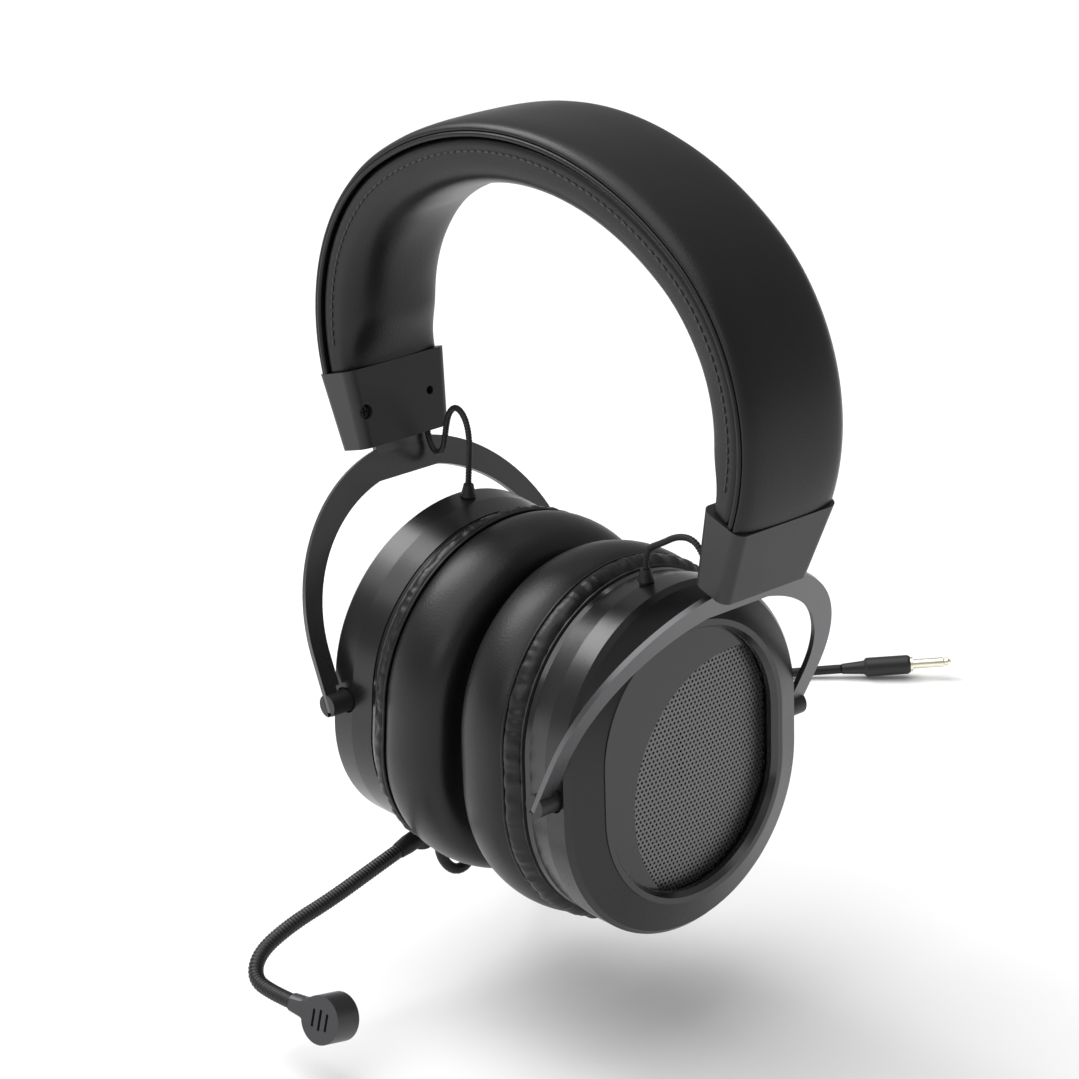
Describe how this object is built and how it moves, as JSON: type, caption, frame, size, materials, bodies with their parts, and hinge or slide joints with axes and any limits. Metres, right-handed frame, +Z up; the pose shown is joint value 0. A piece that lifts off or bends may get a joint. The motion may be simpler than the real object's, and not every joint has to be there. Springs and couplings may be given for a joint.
{
  "type": "gaming headset",
  "caption": "Over-ear gaming headset with a padded headband, sliding fork yokes, tilting oval cups, thick ear cushions, a gooseneck microphone and a coiled audio cable.",
  "frame": {"origin": "middle of the underside of the headband crown, where the headset rests on a head or a hook", "axes": "+Z up out of the headband crown; -Y is the front, the way the microphone boom points; +X to the right seen from the front"},
  "size_m": [0.2258, 0.3604, 0.276],
  "materials": {
    "leatherette": "smooth black leatherette",
    "spring_steel": "bare spring steel",
    "satin_plastic": "satin dark grey plastic",
    "black_steel": "blackened steel",
    "guide_plastic": "plain black plastic",
    "dark_metal": "satin gunmetal",
    "shell_plastic": "soft-touch black plastic",
    "gloss_trim": "gloss black",
    "grille_metal": "black perforated metal",
    "magnet_steel": "plated steel",
    "diaphragm_film": "thin clear-grey film",
    "driver_cloth": "thin black cloth",
    "lead_rubber": "black ribbed lead",
    "cable_rubber": "black cable sheath",
    "gooseneck_rubber": "black ribbed gooseneck",
    "mic_metal": "satin gunmetal",
    "tie_fabric": "hook-and-loop strap",
    "plug_metal": "plated contacts"
  },
  "bodies": {
    "headband": {"headband_cover": "leatherette", "headband_spring": "spring_steel", "headband_pad": "leatherette", "left_cap_outer": "satin_plastic", "left_cap_inner": "satin_plastic", "right_cap_outer": "satin_plastic", "right_cap_inner": "satin_plastic", "cap_screws": "black_steel", "slider_guides": "guide_plastic", "click_springs": "spring_steel", "cable_drop": "cable_rubber", "cable_coil": "cable_rubber", "cable_tie": "tie_fabric", "cable_end": "cable_rubber", "plug_body": "satin_plastic", "plug_tip": "plug_metal"},
    "left_yoke": {"left_yoke": "dark_metal", "left_pivot_caps": "satin_plastic", "left_link_lead": "lead_rubber"},
    "right_yoke": {"right_yoke": "dark_metal", "right_pivot_caps": "satin_plastic", "right_link_lead": "lead_rubber"},
    "left_cup": {"left_baffle": "guide_plastic", "left_baffle_screws": "black_steel", "left_cup_shell": "shell_plastic", "left_driver_cloth": "driver_cloth", "left_driver_diaphragm": "diaphragm_film", "left_driver_frame": "guide_plastic", "left_driver_magnet": "magnet_steel", "left_ear_cushion": "leatherette", "left_face_ring": "gloss_trim", "left_grille": "grille_metal", "left_grille_panel": "gloss_trim", "left_lead_grommet": "cable_rubber", "left_pad_ring": "guide_plastic", "left_pivot_posts": "spring_steel", "left_trim_ring": "gloss_trim", "mic_socket": "magnet_steel", "cable_gland": "cable_rubber"},
    "right_cup": {"right_baffle": "guide_plastic", "right_baffle_screws": "black_steel", "right_cup_shell": "shell_plastic", "right_driver_cloth": "driver_cloth", "right_driver_diaphragm": "diaphragm_film", "right_driver_frame": "guide_plastic", "right_driver_magnet": "magnet_steel", "right_ear_cushion": "leatherette", "right_face_ring": "gloss_trim", "right_grille": "grille_metal", "right_grille_panel": "gloss_trim", "right_lead_grommet": "cable_rubber", "right_pad_ring": "guide_plastic", "right_pivot_posts": "spring_steel", "right_trim_ring": "gloss_trim"},
    "microphone": {"mic_plug": "satin_plastic", "mic_collar": "cable_rubber", "mic_boom": "gooseneck_rubber", "mic_housing": "mic_metal", "mic_front": "mic_metal", "mic_element": "driver_cloth"}
  },
  "joints": [
    {"name": "left_size_slide", "type": "slide", "parent": "headband", "child": "left_yoke", "axis": [0.3024, 0, -0.9532], "range_m": [0, 0.024], "deforming": ["left_link_lead", "cable_drop"]},
    {"name": "right_size_slide", "type": "slide", "parent": "headband", "child": "right_yoke", "axis": [-0.3024, 0, -0.9532], "range_m": [0, 0.024], "deforming": ["right_link_lead"]},
    {"name": "left_cup_tilt", "type": "hinge", "parent": "left_yoke", "child": "left_cup", "pos_m": [-0.045, 0, -0.157], "axis": [0, 1, 0], "range_deg": [-15, 15], "deforming": ["left_ear_cushion"]},
    {"name": "right_cup_tilt", "type": "hinge", "parent": "right_yoke", "child": "right_cup", "pos_m": [0.045, 0, -0.157], "axis": [0, 1, 0], "range_deg": [-15, 15], "deforming": ["right_ear_cushion"]},
    {"name": "mic_swing", "type": "hinge", "parent": "left_cup", "child": "microphone", "pos_m": [-0.04395, -0.0175, -0.2058], "axis": [-0.0523, 0, -0.9986], "range_deg": [-20, 110]}
  ]
}
